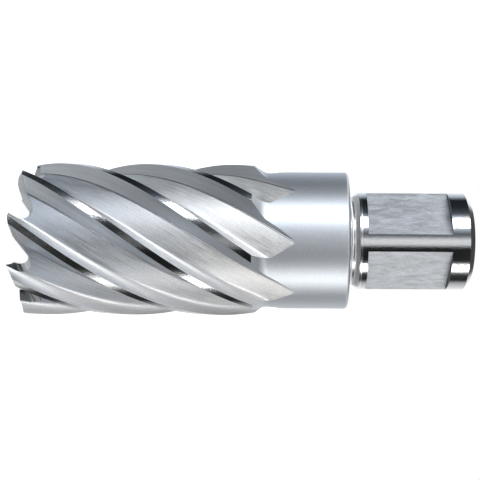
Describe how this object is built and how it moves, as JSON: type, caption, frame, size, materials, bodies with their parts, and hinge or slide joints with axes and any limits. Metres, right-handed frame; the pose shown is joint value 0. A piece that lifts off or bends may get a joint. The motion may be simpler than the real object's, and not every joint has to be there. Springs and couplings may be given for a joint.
{
  "type": "annular cutter",
  "caption": "Hollow core-cutting tool with helical flutes, end teeth, a plain collar and a flatted straight shank.",
  "frame": {"origin": "on the axis, level with the highest tooth tips, which the cutter stands on", "axes": "+Z along the axis from the teeth to the shank; -Y lies midway between the normals of the two clamping flats"},
  "size_m": [0.0298, 0.0298, 0.0871],
  "materials": {
    "bright_ground_steel": "bright ground, with polished margins and shank"
  },
  "bodies": {
    "root": {"annular_cutter": "bright_ground_steel"}
  },
  "joints": []
}
